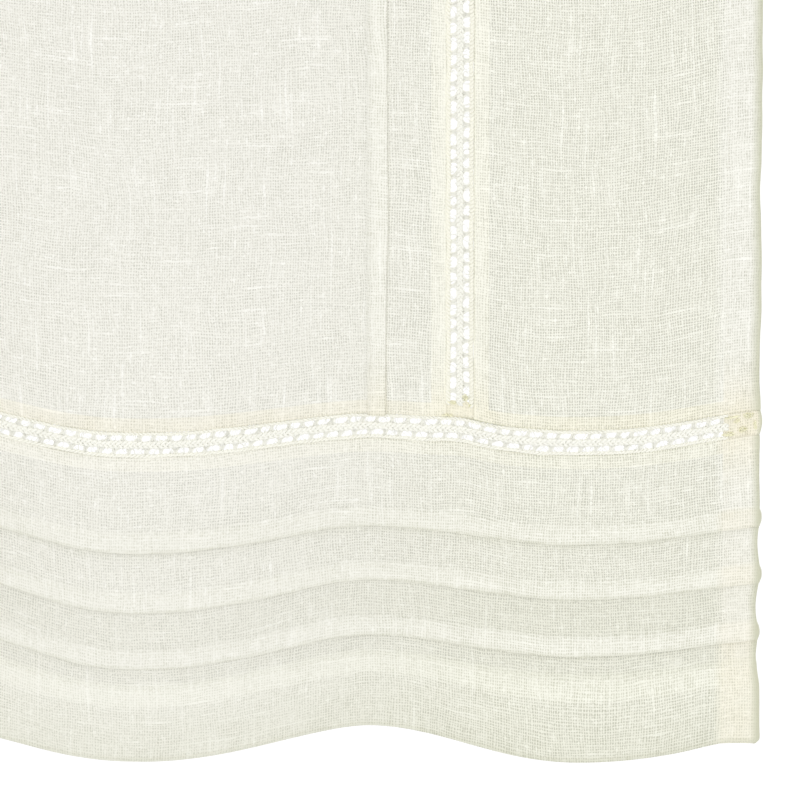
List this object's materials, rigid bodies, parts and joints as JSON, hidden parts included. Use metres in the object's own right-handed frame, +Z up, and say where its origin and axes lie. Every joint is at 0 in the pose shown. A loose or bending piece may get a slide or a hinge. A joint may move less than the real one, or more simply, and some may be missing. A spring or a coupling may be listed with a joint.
{
  "type": "cafe curtain",
  "caption": "Sheer linen cafe curtain that hangs in soft folds, with openwork insertions, pin tucks and turned hems.",
  "frame": {"origin": "middle of the top edge, in the plane that the curtain hangs in", "axes": "+Z up, towards the top edge; +X to the right, seen from the front; the front with the raised tucks faces -Y"},
  "size_m": [0.6012, 0.0259, 0.6115],
  "materials": {
    "linen": "sheer off-white plain-weave linen with thicker threads here and there",
    "openwork_thread": "off-white cotton thread, plaited"
  },
  "bodies": {
    "root": {"centre_panel": "linen", "right_panel": "linen", "left_panel": "linen", "right_insertion": "openwork_thread", "left_insertion": "openwork_thread", "cross_insertion": "openwork_thread", "hem_band": "linen"}
  },
  "joints": []
}
